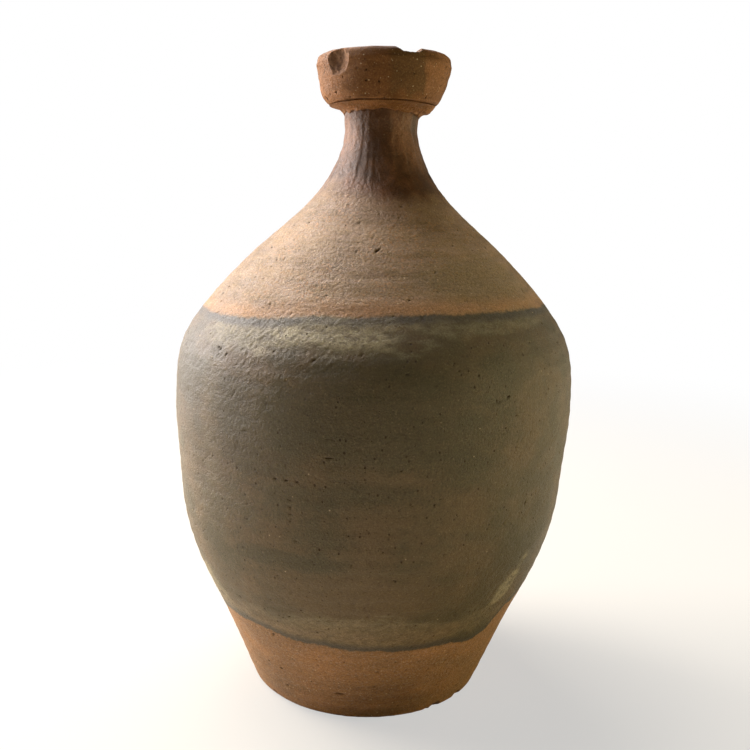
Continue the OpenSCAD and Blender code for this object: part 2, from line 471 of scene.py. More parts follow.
def notched(p, q, angles):
    """The points with the rim worn down to the rough floor of the notch, and where that happened."""
    inwards = rise(angles, NOTCH_FROM, NOTCH_FROM + NOTCH_SLOPES[0])
    inwards = inwards * (1 - rise(angles, NOTCH_TO - NOTCH_SLOPES[1], NOTCH_TO))
    rough = 0.35 * MM * noise(p, 4 * MM, 16) + 0.2 * MM * noise(p, 1.8 * MM, 17)
    floor_z = top - inwards * (NOTCH_DEPTH + rough) + (1 - rise(inwards, 0, 0.1)) * 5 * MM
    cut = q[..., 2] - floor_z
    q = q.copy()
    q[..., 2] = np.where(cut > 0, floor_z + 0.08 * cut, q[..., 2])
    return q, 0.35 * rise(cut, -0.3 * MM, 0.3 * MM)


# ------------------------------------------------------------------------------- fields for colours
# Heights in metres at angles round the bottle. The stations on the front were projected from the photo by
# a scratch program, thinned and rounded. The far side is a guess.
WASH_TOP = [
    (-150, 0.2510), (-72, 0.2475), (-45, 0.2475), (-12, 0.2510), (30, 0.2535), (60, 0.2530),
    (110, 0.2500), (160, 0.2530),
]
WASH_FOOT = [
    (-160, 0.0600), (-110, 0.0560), (-65, 0.0600), (-43, 0.0635), (-22, 0.0598), (15, 0.0572),
    (30, 0.0575), (38, 0.0530), (45, 0.0560), (54, 0.0710), (75, 0.0740), (125, 0.0620),
]
NECK_FOOT = [
    (-130, 0.3180), (-44, 0.3250), (-12, 0.3150), (12, 0.3130), (32, 0.3150), (60, 0.3160),
    (140, 0.3130),
]

# A patch of another tone: its angle and height, half its length and half its width in millimetres,
# its tilt in degrees up from level, and its strength.
Patch = namedtuple("Patch", "angle height length width tilt strength")

BROWN = [
    Patch(4, 387, 33, 26, 0, 1.0),      # the front of the mouth cup
    Patch(-2, 98, 62, 21, 0, 1.0), Patch(0, 68, 84, 12, 0, 1.0),
    Patch(-12, 176, 26, 7, 2, 0.7), Patch(-4, 200, 34, 16, -20, 0.3),
    Patch(-45, 160, 14, 30, 10, 0.5), Patch(15, 146, 46, 13, 8, 0.6), Patch(25, 118, 30, 9, 4, 0.7),
    Patch(100, 120, 60, 22, 5, 0.8), Patch(170, 160, 70, 18, -4, 0.7), Patch(-120, 110, 50, 20, 6, 0.8),
    Patch(-135, 200, 40, 18, 12, 0.6), Patch(120, 205, 36, 16, -8, 0.5),
]
# Patches of paler wash. The band just under the wash's top edge, where the shoulder turns up, is partly
# paler wash and partly painted highlight.
PALE = [
    Patch(-4, 69, 95, 14, 1, 0.4), Patch(-12, 243.5, 50, 11, 2, 1.0), Patch(-38, 242, 40, 9, 2, 0.5),
    Patch(-46, 185, 9, 40, 0, 0.14),
    Patch(28, 246.5, 52, 5, 1, 0.35),
    Patch(46, 90, 20, 6, 62, 0.8),
    Patch(40, 77, 8, 3, 50, 0.4),
    Patch(-62, 75, 30, 16, -30, 0.6), Patch(150, 85, 30, 6, 20, 0.4), Patch(-100, 235, 40, 8, 0, 0.4),
]
# Patches of greener, darker wash. The large one on the front of the belly and the two at its far left,
# under the shoulder, are mostly painted shade.
GREEN_AND_SHADE = [
    Patch(4, 204, 70, 27, 0, 0.8), Patch(4, 182, 40, 12, 4, 0.4),
    Patch(-22, 118, 44, 5.5, -2, 0.9), Patch(37, 63, 17, 15, 30, 1.0), Patch(-12, 158, 50, 8, 5, 0.6),
    Patch(20, 176, 30, 14, 25, 0.6), Patch(36, 222, 26, 14, 10, 0.6), Patch(43, 116, 16, 16, 20, 0.8),
    Patch(-26, 192, 38, 26, 0, 0.8), Patch(-45, 118, 17, 42, 0, 0.6), Patch(-62, 212, 26, 20, 0, 0.9),
    Patch(53, 118, 14, 26, 0, 0.9), Patch(38, 100, 14, 12, 0, 0.6), Patch(40, 266, 48, 18, 0, 0.75),
    Patch(-66, 226, 22, 18, 0, 0.8), Patch(56, 138, 14, 28, 0, 0.7), Patch(110, 170, 50, 16, 6, 0.8),
    Patch(-170, 110, 60, 12, 3, 0.8), Patch(-95, 150, 30, 25, 0, 0.7), Patch(42, 46, 9, 6, 20, 0.9),
]


def patches(p, r, z, angles, places):
    """How strongly each point lies in one of the patches."""
    stray = 0.35 * noise(p, (16 * MM, 16 * MM, 6 * MM), 18)
    stray = stray + 0.25 * noise(p, (7 * MM, 7 * MM, 2 * MM), 19)
    total = 0
    for patch in places:
        across = np.radians(turn(angles, patch.angle)) * r
        up = z - patch.height * MM
        tilt = math.radians(patch.tilt)
        u = (across * math.cos(tilt) + up * math.sin(tilt)) / (patch.length * MM)
        v = (up * math.cos(tilt) - across * math.sin(tilt)) / (patch.width * MM)
        total = np.maximum(total, patch.strength * (1 - rise(np.hypot(u, v) + stray, 0.55, 1.25)))
    return total


def cup_stain(p, z, angles):
    """The dark stain under the notch: a ragged left edge, a straight right one and rounded lobes."""
    ragged = noise(p, 7 * MM, 20) + 0.5 * noise(p, 3 * MM, 29)
    left = rise(angles + 4 * ragged, 0, 9)
    right = 1 - rise(angles + 1.2 * noise(p, 4 * MM, 21) + 0.3 * (z - 0.388) / MM, 35.0, 38.0)
    lobes = 1.6 * np.cos(np.radians(20 * (angles - 8)))
    below = rise(z + (1.0 * ragged + lobes) * MM, 0.3730, 0.3765)
    return left * right * below


# --------------------------------------------------------------------------------------- mesh making
def evenly(points, step):
    """A line of (r, z) points, spaced again about a step apart, keeping its ends."""
    points = np.asarray(points, float)
    along = np.concatenate([[0], np.cumsum(np.hypot(*np.diff(points, axis=0).T))])
    count = max(2, int(round(along[-1] / step)) + 1)
    s = np.linspace(0, along[-1], count)
    return np.stack([np.interp(s, along, points[:, 0]), np.interp(s, along, points[:, 1])], axis=1)


def skin_row(z):
    return np.array([skin(z), z, 1.0])


def skin_line(low, high):
    z = np.linspace(low, high, 200)
    return evenly(np.stack([skin(z), z], axis=1), SKIN_STEP)


def inside_line(high, low):
    z = np.linspace(high, low, 100)
    return evenly(np.stack([inside(z), z], axis=1), INSIDE_STEP)


def lap_line(joint):
    """The joint face from the outside of the wall to the inside."""
    a = np.array([skin(joint[0]), joint[0]])
    b = np.array([inside(joint[1]), joint[1]])
    t = np.linspace(0, 1, LAP_ROWS + 2)[:, None]
    return a + (b - a) * t


def stretch(points, w_start, w_end=None):
    """Rows of (r, z, w) with w going evenly from one end to the other."""
    w_end = w_start if w_end is None else w_end
    return np.column_stack([points, np.linspace(w_start, w_end, len(points))])


def joined(*stretches):
    """One list of rows, without the points that two stretches share."""
    rows = [stretches[0]]
    for s in stretches[1:]:
        same = np.allclose(rows[-1][-1][:2], s[0][:2], atol=1e-7)
        rows.append(s[1:] if same else s)
    return np.concatenate(rows)


def wall_facing(rows):
    """The way the outside faces at the height of each row, as (r, z)."""
    slope = np.interp(rows[:, 1], skin_z, skin_slope)
    facing = np.stack([np.ones_like(slope), -slope], axis=1)
    return facing / np.linalg.norm(facing, axis=1)[:, None]


def mouth_facing(rows):
    """The way each row of a closed outline faces, as (r, z). Cup and collar agree where they meet."""
    along = np.roll(rows[:, :2], -1, axis=0) - np.roll(rows[:, :2], 1, axis=0)
    facing = np.stack([along[:, 1], -along[:, 0]], axis=1)
    facing /= np.maximum(np.linalg.norm(facing, axis=1), 1e-9)[:, None]
    shared = np.exp(-(from_cup_foot(rows[:, 0], rows[:, 1]) / (2 * MM)) ** 2)[:, None]
    facing = facing * (1 - shared) + CUP_FOOT_FACING * shared
    return facing / np.linalg.norm(facing, axis=1)[:, None]


def shaped(rows, facing, relief, rework=None):
    """The rows turned about the axis and given their relief: the points and what happened to them."""
    r, z, w = (rows[:, i][:, None] for i in range(3))
    p = polar(r, z, ANGLES)
    dent, dark = dents(*rows.T, ANGLES, MARKS)
    stand = relief(p, r, z, w, ANGLES[None, :]) - dent
    q = polar(r + stand * facing[:, :1], z + stand * facing[:, 1:], ANGLES)
    q, broken = bitten(p, q)
    if rework:
        q, cut = rework(p, q, ANGLES[None, :])
        broken = np.maximum(broken, cut)
    q[..., 0] += lean(q[..., 2])
    q[..., 2] = np.maximum(q[..., 2], 0)
    return p, q, stand, dark, broken


def normals_of(q):
    """The way a grid of points faces, for every row but the first and the last."""
    up = q[2:] - q[:-2]
    round_about = np.roll(q, -1, axis=1) - np.roll(q, 1, axis=1)
    facing = np.cross(round_about[1:-1], up)
    return facing / np.maximum(np.linalg.norm(facing, axis=-1), 1e-12)[..., None]


def lathe(name, rows, facing, relief, closed=True, joints=(), rework=None):
    """A mesh of rows of (r, z, w) turned about the axis, with its relief. An open line ends on the axis.

    Each joint is the number of a row where the skin ends, and the way it would go on: up 1, or down -1.
    Such a row is shaded as if the skin ran on past it, so that no joint shows as a line.
    """
    p, q, stand, dark, broken = shaped(rows, facing, relief, rework)
    normals = normals_of(np.concatenate([q[-1:], q, q[:1]]))
    for row, way in joints:
        z, inner_z = rows[row][1], rows[row - way][1]
        beyond = np.array([skin_row(2 * z - inner_z)])
        past = shaped(beyond, wall_facing(beyond), relief)[1][0]
        three = [q[row - way], q[row], past]
        normals[row] = normals_of(np.stack(three[::way]))[0]

    count = len(rows)
    index = np.arange(count * AROUND).reshape(count, AROUND)
    lower = index if closed else index[:-1]
    upper = np.roll(index, -1, axis=0) if closed else index[1:]
    quads = np.stack([lower, np.roll(lower, -1, 1), np.roll(upper, -1, 1), upper], axis=-1)
    points = q.reshape(-1, 3)
    normals = normals.reshape(-1, 3)
    faces = quads.reshape(-1, 4).tolist()
    if not closed:
        for ring, last in ((index[0], False), (index[-1], True)):
            pole = len(points)
            points = np.concatenate([points, points[ring].mean(0)[None]])
            normals = np.concatenate([normals, [(0, 0, 1 if last else -1)]])
            normals[ring] = normals[pole]
            ahead = np.roll(ring, -1)
            order = (ring, ahead) if last else (ahead, ring)
            faces += np.stack([*order, np.full(AROUND, pole)], axis=-1).tolist()
    mesh = bpy.data.meshes.new(name)
    mesh.from_pydata(points.tolist(), [], faces)
    mesh.shade_smooth()
    mesh.normals_split_custom_set_from_vertices(normals.tolist())

    r, z, w = (rows[:, i][:, None] for i in range(3))
    grid = ANGLES[None, :] + 0 * r
    fields = {
        "above_wash": (z - round_curve(WASH_TOP, ANGLES)[None, :]) / MM,
        "above_foot_line": (z - round_curve(WASH_FOOT, ANGLES)[None, :]) / MM,
        "above_neck_line": (z - round_curve(NECK_FOOT, ANGLES)[None, :]) / MM,
        # painted shade inside the marks
        "pit": dark,
        # how far the surface is sunk; the shader darkens it as painted shade
        "hollow": np.clip(-stand / (0.7 * MM), -1, 1),
        "broken": broken,
        "brown": patches(p, r, z, grid, BROWN),
        "pale": patches(p, r, z, grid, PALE),
        "green_and_shade": patches(p, r, z, grid, GREEN_AND_SHADE),
        "stain": cup_stain(p, z, grid) * (w > 0.8),
    }
    for field, values in fields.items():
        attribute = mesh.attributes.new(field, "FLOAT", "POINT")
        flat = np.zeros(len(points), np.float32)
        flat[: count * AROUND] = np.broadcast_to(values, (count, AROUND)).ravel()
        attribute.data.foreach_set("value", flat)

    piece = bpy.data.objects.new(name, mesh)
    bpy.context.scene.collection.objects.link(piece)
    return piece


ANGLES = np.linspace(-180, 180, AROUND, endpoint=False)
MARKS = GOUGES + scattered_pits()

# ------------------------------------------------------------------------------------------ sections
FOOT_EDGE = 3 * MM          # rounding of the foot's lower edge
HUB = 3 * MM                # radius at which the slab's faces close on the axis


def make_course(name, joint_below, joint_above):
    outside = skin_line(joint_below[0], joint_above[0])
    rows = joined(
        stretch(outside, 1),
        stretch(lap_line(joint_above), 1, 0),
        stretch(inside_line(joint_above[1], joint_below[1]), 0),
        stretch(lap_line(joint_below)[::-1], 0, 1)[:-1],
    )
    joints = [(0, -1), (len(outside) - 1, 1)]
    return lathe(name, rows, wall_facing(rows), wall_relief, joints=joints)


def make_base_slab():
    edge_r = skin(FOOT_EDGE) - 0.3 * MM
    edge = [
        (edge_r - FOOT_EDGE + FOOT_EDGE * math.cos(v), FOOT_EDGE + FOOT_EDGE * math.sin(v))
        for v in np.radians(np.linspace(-90, -10, 7))
    ]
    seat_z = slab_seam[1]
    under = evenly([(HUB, 0), edge[0]], 3 * MM)
    outside = evenly(edge + [(skin(slab_seam[0]), slab_seam[0])], 0.8 * MM)
    rows = joined(
        stretch(under, 0),
        stretch(outside, 1),
        stretch(lap_line(slab_seam), 1, 0),
        stretch(evenly([(inside(seat_z), seat_z), (HUB, seat_z)], INSIDE_STEP), 0),
    )
    joints = [(len(under) + len(outside) - 2, 1)]
    return lathe("base_slab_clay", rows, wall_facing(rows), wall_relief, closed=False, joints=joints)


def make_neck():
    neck_r = skin(collar_z)
    spigot_r = inner_radius(probe_tree(["mouth_cup"]), (cup_z + spigot_z) / 2)
    bared_z = collar_z + COLLAR_LIFT_MOST
    step_line = [
        (neck_r, bared_z), (neck_r, cup_z), (spigot_r, cup_z), (spigot_r, spigot_z),
        (inside(spigot_z), spigot_z),
    ]
    outside = skin_line(shoulder_seam[0], collar_z)
    rows = joined(
        stretch(outside, 1),
        stretch(evenly([(neck_r, collar_z), (neck_r, bared_z)], SKIN_STEP), 1),
        stretch(evenly(step_line[:2], 1 * MM), 1, 0),
        stretch(evenly(step_line[1:3], 2 * MM), 0),
        stretch(evenly(step_line[2:4], 2 * MM), 0),
        stretch(evenly(step_line[3:], 1 * MM), 0),
        stretch(inside_line(spigot_z, shoulder_seam[1]), 0),
        stretch(lap_line(shoulder_seam)[::-1], 0, 1)[:-1],
    )
    return lathe("neck_clay", rows, wall_facing(rows), wall_relief, joints=[(0, -1)])


def bunched(low, high, count):
    """Heights from low to high that crowd together towards high."""
    return low + (high - low) * np.sin(np.linspace(0, math.pi / 2, count))


def make_cup():
    tree = probe_tree(["mouth_cup"])
    low, high = cup_z + 0.02 * MM, top - 0.05 * MM
    outside = [(outer_radius(tree, z), z) for z in bunched(low, high, 80)]
    bowl = [(inner_radius(tree, z), z) for z in bunched(spigot_z + 0.05 * MM, high, 60)[::-1]]
    hole = inner_radius(tree, (cup_z + spigot_z) / 2)
    rows = joined(
        stretch(evenly(outside, 0.5 * MM), 1),
        stretch(evenly(bowl, 0.7 * MM), 0.9, 0.4),
        stretch(evenly([bowl[-1], (hole, spigot_z)], 1 * MM), 0.4, 0),
        stretch(evenly([(hole, spigot_z), (hole, cup_z)], 2 * MM), 0),
        stretch(evenly([(hole, cup_z), outside[0]], 2 * MM), 0)[:-1],
    )
    return lathe("mouth_cup_clay", rows, mouth_facing(rows), mouth_relief, rework=notched)


def make_collar():
    tree = probe_tree(["luting_collar"])
    up = bunched(collar_z + 0.02 * MM, cup_z - 0.02 * MM, 40)
    outside = [(outer_radius(tree, z), z) for z in up]
    hole = skin(collar_z)
    rows = joined(
        stretch(evenly(outside, 0.5 * MM), 1),
        stretch(evenly([outside[-1], (hole, cup_z)], 1 * MM), 0),
        stretch(evenly([(hole, cup_z), (hole, collar_z)], 1 * MM), 0),
        stretch(evenly([(hole, collar_z), outside[0]], 0.4 * MM), 0, 1)[:-1],
    )
    return lathe("luting_collar_clay", rows, mouth_facing(rows), collar_relief, rework=lifted)


# ---------------------------------------------------------------------------------- shader building
class Graph:
    """Short names for the shader nodes that this file uses."""

    def __init__(self, tree):
        self.tree = tree

    def node(self, kind, inputs=None, **settings):
        node = self.tree.nodes.new("ShaderNode" + kind)
        for name, value in settings.items():
            setattr(node, name, value)
        for key, value in (inputs or {}).items():
            self.plug(node.inputs[key], value)
        return node

    def plug(self, socket, value):
        if isinstance(value, bpy.types.NodeSocket):
            self.tree.links.new(value, socket)
        elif isinstance(value, tuple) and len(value) == 3 and socket.type == "RGBA":
            socket.default_value = (*value, 1)
        else:
            socket.default_value = value

    def field(self, name):
        return self.node("Attribute", attribute_name=name).outputs["Fac"]

    def math(self, operation, a, b=0.0, c=0.0):
        return self.node("Math", {0: a, 1: b, 2: c}, operation=operation).outputs[0]

    def add(self, a, b):
        return self.math("ADD", a, b)

    def times(self, a, b):
        return self.math("MULTIPLY", a, b)

    def flip(self, a):
        return self.math("SUBTRACT", 1.0, a)

    def rise(self, value, low, high, to_low=0.0, to_high=1.0):
        inputs = {
            "Value": value, "From Min": low, "From Max": high, "To Min": to_low, "To Max": to_high,
        }
        return self.node("MapRange", inputs, interpolation_type="SMOOTHSTEP").outputs["Result"]

    def blend(self, amount, a, b, way="MIX"):
        node = self.node("Mix", data_type="RGBA", blend_type=way)
        self.plug(node.inputs[0], amount)
        self.plug(node.inputs[6], a)
        self.plug(node.inputs[7], b)
        return node.outputs[2]

    def blend_value(self, amount, a, b):
        return self.node("Mix", {0: amount, 2: a, 3: b}, data_type="FLOAT").outputs[0]

    def place(self, squash=(1, 1, 1), shift=(0, 0, 0)):
        """Object coordinates, squashed along some axes."""
        coordinates = self.node("TexCoord").outputs["Object"]
        inputs = {"Vector": coordinates, "Scale": squash, "Location": shift}
        return self.node("Mapping", inputs).outputs["Vector"]

    def noise(self, size, detail=2.0, roughness=0.5, squash=(1, 1, 1), shift=(0, 0, 0)):
        inputs = {
            "Vector": self.place(squash, shift), "Scale": 1 / size, "Detail": detail,
            "Roughness": roughness,
        }
        return self.node("TexNoise", inputs).outputs["Fac"]

    def dots(self, spacing, radius, shift=(0, 0, 0), squash=(1, 1, 1)):
        """Round dots of about this radius, scattered with about this spacing."""
        inputs = {"Vector": self.place(squash, shift), "Scale": 1 / spacing, "Randomness": 1.0}
        distance = self.node("TexVoronoi", inputs).outputs["Distance"]
        return self.rise(distance, 0.6 * radius / spacing, 1.3 * radius / spacing, 1.0, 0.0)


# Clay and wash colours, as linear red, green and blue
TAN = (0.460, 0.300, 0.143)
TAN_DARK = (0.290, 0.185, 0.075)
TAN_ORANGE = (0.560, 0.282, 0.105)
TAN_PALE = (0.540, 0.365, 0.245)
TAN_OLIVE = (0.282, 0.205, 0.085)
FOOT_ORANGE = (0.505, 0.244, 0.086)
FOOT_BROWN = (0.340, 0.178, 0.066)
WASH_OLIVE = (0.115, 0.090, 0.038)
WASH_BROWN = (0.176, 0.115, 0.049)
WASH_GREEN = (0.084, 0.073, 0.030)
WASH_PALE = (0.470, 0.400, 0.225)
WASH_RUBBED = (0.450, 0.315, 0.165)
WASH_LINE = (0.080, 0.072, 0.050)
NECK_DARK = (0.108, 0.042, 0.011)
NECK_BROWN = (0.275, 0.118, 0.046)
NECK_FADE = (0.330, 0.190, 0.110)
MOUTH_ORANGE = (0.352, 0.157, 0.060)
MOUTH_BROWN = (0.168, 0.068, 0.015)
STAIN = (0.160, 0.078, 0.023)
BREAK_PALE = (0.270, 0.150, 0.085)
BREAK_DARK = (0.160, 0.090, 0.056)
GRIT = (0.600, 0.440, 0.240)
# Painted shade: the colour that pits, scratches, creases, sunk places and the low grain are darkened
# towards
PAINTED_SHADE = (0.045, 0.026, 0.012)

GLOSSY = 0.46       # roughness of the shiniest clay
WORN = 0.85         # roughness of pits and breaks


def bare_clay_colour(g):
    """Tan above the wash and orange-brown below it, with an orange edge next to the wash."""
    mottle = g.rise(g.noise(38 * MM, 4.0, 0.6, (1, 1, 2.4)), 0.35, 0.7)
    wiped = g.rise(g.noise(14 * MM, 4.0, 0.62, (1, 1, 7)), 0.38, 0.66)
    tan = g.blend(mottle, TAN, TAN_DARK)
    tan = g.blend(g.times(wiped, 0.45), tan, TAN_PALE)
    speckle = g.rise(g.noise(1.8 * MM, 3.0, 0.6, (1, 1, 1.4)), 0.54, 0.62)
    speckled = g.times(speckle, g.rise(g.noise(30 * MM, 3.0), 0.4, 0.65, 0.25, 0.85))
    tan = g.blend(speckled, tan, TAN_ORANGE)
    above = g.field("above_wash")
    tan = g.blend(g.times(g.field("green_and_shade"), 0.8), tan, TAN_OLIVE)
    edge = g.times(g.rise(above, 2.0, 11.0, 0.8, 0.0), g.rise(mottle, 0.0, 1.0, 1.0, 0.5))
    tan = g.blend(edge, tan, TAN_ORANGE)
    foot = g.blend(mottle, FOOT_ORANGE, FOOT_BROWN)
    foot = g.blend(g.times(wiped, 0.35), foot, MOUTH_ORANGE)
    foot = g.blend(g.times(speckle, 0.4), foot, TAN_PALE)
    return g.blend(g.rise(above, -60.0, -50.0), foot, tan)


def wash_colour(g):
    """The thin iron wash: olive, with brown, greener and pale places; some of the dark places are painted
    shade, and part of the pale band under its top edge is a painted highlight.
    """
    cloud = g.noise(26 * MM, 5.0, 0.66, (1, 1, 1.25), (0.3, 0.1, 0.2))
    streak = g.noise(16 * MM, 4.0, 0.6, (1, 1, 3), (0.1, 0.4, 0.3))
    colour = g.blend(g.rise(cloud, 0.36, 0.64), WASH_OLIVE, WASH_BROWN)
    colour = g.blend(g.times(g.field("brown"), 0.7), colour, WASH_BROWN)
    # Greener wash, and painted shade on the front of the belly and at its far left
    colour = g.blend(g.times(g.field("green_and_shade"), 0.8), colour, WASH_GREEN)
    broken_up = g.rise(g.noise(6 * MM, 4.0, 0.65, (1, 1, 2)), 0.35, 0.6, 0.3, 1.0)
    pale = g.blend(g.rise(g.field("above_wash"), -185.0, -165.0), WASH_RUBBED, WASH_PALE)
    # Paler wash, partly painted highlight in the band under the top edge
    colour = g.blend(g.times(g.field("pale"), broken_up), colour, pale)
    return g.blend(g.rise(streak, 0.5, 0.75, 0.0, 0.3), colour, WASH_GREEN)


def neck_colour(g):
    cloud = g.rise(g.noise(15 * MM, 4.0, 0.6, (1, 1, 0.5)), 0.38, 0.66)
    colour = g.blend(cloud, NECK_DARK, NECK_BROWN)
    # Painted shade in the neck's sunk places, such as the creases of its folds
    return g.blend(g.times(g.rise(g.field("hollow"), 0.1, 1.0), 0.15), colour, PAINTED_SHADE)


def zoned_colour(g):
    """Bare clay, wash and neck stain, each up to its own wandering edge."""
    wander = g.times(g.add(g.noise(16 * MM, 4.0, 0.65), -0.5), 4.0)
    fray = g.times(g.add(g.noise(2.2 * MM, 3.0, 0.6), -0.5), 2.2)
    above = g.add(g.add(g.field("above_wash"), wander), fray)
    above_foot = g.add(g.add(g.field("above_foot_line"), g.times(wander, 1.2)), g.times(fray, 1.6))
    colour = wash_colour(g)
    top_line = g.times(g.rise(above, -5.8, -2.8), g.rise(above, -1.0, 1.0, 1.0, 0.0))
    strength = g.rise(g.noise(24 * MM, 3.0, 0.6), 0.35, 0.6, 0.5, 0.9)
    colour = g.blend(g.times(top_line, strength), colour, WASH_LINE)
    foot_line = g.times(g.rise(above_foot, -0.6, 0.8), g.rise(above_foot, 1.8, 6.5, 1.0, 0.0))
    colour = g.blend(g.times(foot_line, 0.85), colour, WASH_LINE)
    washed = g.times(g.rise(above, -1.2, 1.2, 1.0, 0.0), g.rise(above_foot, -0.9, 0.9))
    colour = g.blend(washed, bare_clay_colour(g), colour)
    drips = g.times(g.add(g.noise(20 * MM, 5.0, 0.62, (1, 1, 0.45)), -0.5), 30.0)
    above_neck = g.add(g.field("above_neck_line"), drips)
    colour = g.blend(g.rise(above_neck, -20.0, 2.0, 0.0, 0.6), colour, NECK_FADE)
    stained = g.rise(above_neck, -7.0, 7.0)
    colour = g.blend(stained, colour, neck_colour(g))
    in_cup = g.rise(g.field("above_neck_line"), 58.0, 60.0)
    return g.blend(in_cup, colour, MOUTH_ORANGE), washed, g.times(stained, g.flip(in_cup))


def mouth_colour(g):
    cloud = g.rise(g.noise(12 * MM, 4.0, 0.6), 0.4, 0.7, 0.0, 0.4)
    brown = g.math("MAXIMUM", cloud, g.times(g.field("brown"), g.rise(cloud, 0.0, 0.4, 0.75, 1.0)))
    colour = g.blend(brown, MOUTH_ORANGE, MOUTH_BROWN)
    stain = g.times(g.field("stain"), g.rise(g.noise(6 * MM, 3.0, 0.6), 0.25, 0.5, 0.65, 1.0))
    return g.blend(stain, colour, STAIN), stain


def finish_clay(g, shader, colour, grit_amount, pit_amount, roughness, specular, glossy, scratched):
    """Grit, pits, breaks and grain over a colour, with painted shade in the low and sunk places, and with
    the roughness and the bump that go with them.
    """
    grain = g.noise(0.9 * MM, 3.0, 0.7)
    leather = g.noise(2.0 * MM, 4.0, 0.65)
    torn = g.rise(g.noise(45 * MM, 2.0), 0.35, 0.65, 0.55, 1.1)
    streak = g.noise(9 * MM, 3.0, 0.6, (1, 1, 5))
    grit = g.dots(4.6 * MM, 0.42 * MM)
    small_grit = g.dots(3.0 * MM, 0.3 * MM, (0.2, 0.3, 0.1))
    lone_grit = g.dots(12.0 * MM, 0.45 * MM, (0.6, 0.9, 0.3))
    pits = g.dots(5.0 * MM, 0.6 * MM, (0.5, 0.1, 0.7), (1, 1, 0.8))
    crowded = g.rise(g.noise(14 * MM, 2.0, 0.5, (1, 1, 1), (0.7, 0.2, 0.4)), 0.38, 0.62, 0.35, 1.0)
    tiny_pits = g.dots(2.9 * MM, 0.36 * MM, (0.3, 0.8, 0.6))
    pits = g.times(g.times(g.math("MAXIMUM", pits, g.times(tiny_pits, 0.7)), crowded), pit_amount)
    # The marks' painted shade from the mesh joins the shader's pits, which are darkened, sunk and
    # roughened
    pits = g.math("MAXIMUM", pits, g.rise(g.field("pit"), 0.25, 0.75))
    broken = g.field("broken")
    scratches = g.dots(3.6 * MM, 0.62 * MM, (0.9, 0.4, 0.2), (1, 1, 2.6))
    scratches = g.times(g.times(scratches, crowded), scratched)

    # Painted shade in the low places of the grain and of the leathery texture
    colour = g.blend(g.rise(grain, 0.3, 0.7, 0.46, 0.0), colour, PAINTED_SHADE)
    colour = g.blend(g.rise(leather, 0.32, 0.5, 0.3, 0.0), colour, PAINTED_SHADE)
    dusting = g.add(g.times(grit_amount, 0.12), 0.10)
    colour = g.blend(g.times(g.rise(grain, 0.55, 0.75), dusting), colour, GRIT)
    # Painted shade where the relief is sunk
    colour = g.blend(g.times(g.rise(g.field("hollow"), 0.0, 1.0), 0.3), colour, PAINTED_SHADE)
    all_grit = g.math("MAXIMUM", grit, g.times(small_grit, 0.7))
    colour = g.blend(g.times(all_grit, grit_amount), colour, GRIT)
    colour = g.blend(g.times(lone_grit, 0.6), colour, GRIT)
    colour = g.blend(broken, colour, g.blend(g.rise(leather, 0.35, 0.65), BREAK_DARK, BREAK_PALE))
    # Painted shade in the pits and the scratches
    colour = g.blend(g.times(pits, 0.85), colour, PAINTED_SHADE)
    colour = g.blend(g.times(scratches, 0.3), colour, PAINTED_SHADE)

    height = g.times(g.times(leather, torn), 0.78 * MM)
    height = g.add(height, g.times(grain, 0.42 * MM))
    height = g.add(height, g.times(streak, g.add(g.times(grit_amount, 0.5 * MM), 0.1 * MM)))
    height = g.add(height, g.times(grit, 0.08 * MM))
    height = g.add(height, g.times(pits, -0.5 * MM))
    height = g.add(height, g.times(scratches, -0.35 * MM))
    bump = g.node("Bump", {"Height": height, "Distance": 1.0, "Strength": 1.0}).outputs["Normal"]

    rough = g.rise(g.noise(9 * MM, 3.0, 0.6), 0.3, 0.7, roughness - 0.06, roughness + 0.08)
    rough = g.blend_value(glossy, rough, GLOSSY)
    rough = g.blend_value(g.math("MAXIMUM", pits, broken), rough, WORN)
    g.plug(shader.inputs["Base Color"], colour)
    g.plug(shader.inputs["Roughness"], rough)
    g.plug(shader.inputs["Specular IOR Level"], specular)
    g.plug(shader.inputs["Normal"], bump)


def new_material(name):
    material = bpy.data.materials.new(name)
    material.use_nodes = True
    return material, Graph(material.node_tree), material.node_tree.nodes["Principled BSDF"]


def wall_material(name, specular=0.40):
    material, g, shader = new_material(name)
    colour, washed, stained = zoned_colour(g)
    grit_amount = g.blend_value(g.math("MAXIMUM", washed, stained), 0.85, 0.16)
    pit_amount = g.blend_value(stained, g.blend_value(washed, 0.35, 1.0), 0.15)
    glossy = g.math("MAXIMUM", stained, g.times(washed, 0.6))
    finish_clay(g, shader, colour, grit_amount, pit_amount, 0.58, specular, glossy, grit_amount)
    return material


def mouth_material(name):
    material, g, shader = new_material(name)
    colour, stain = mouth_colour(g)
    finish_clay(g, shader, colour, 0.6, 0.55, 0.6, 0.13, g.times(stain, 0.15), 0.35)
    return material


slots = {
    "foot_clay": wall_material("foot_clay"),
    "iron_wash": wall_material("iron_wash"),
    "shoulder_clay": wall_material("shoulder_clay"),
    "neck_clay": wall_material("neck_clay", 0.32),
    "mouth_clay": mouth_material("mouth_clay"),
}


def finish_piece(piece, node, slot):
    piece.data.materials.append(slots[slot])
    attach(piece, "root")
    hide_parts(node)


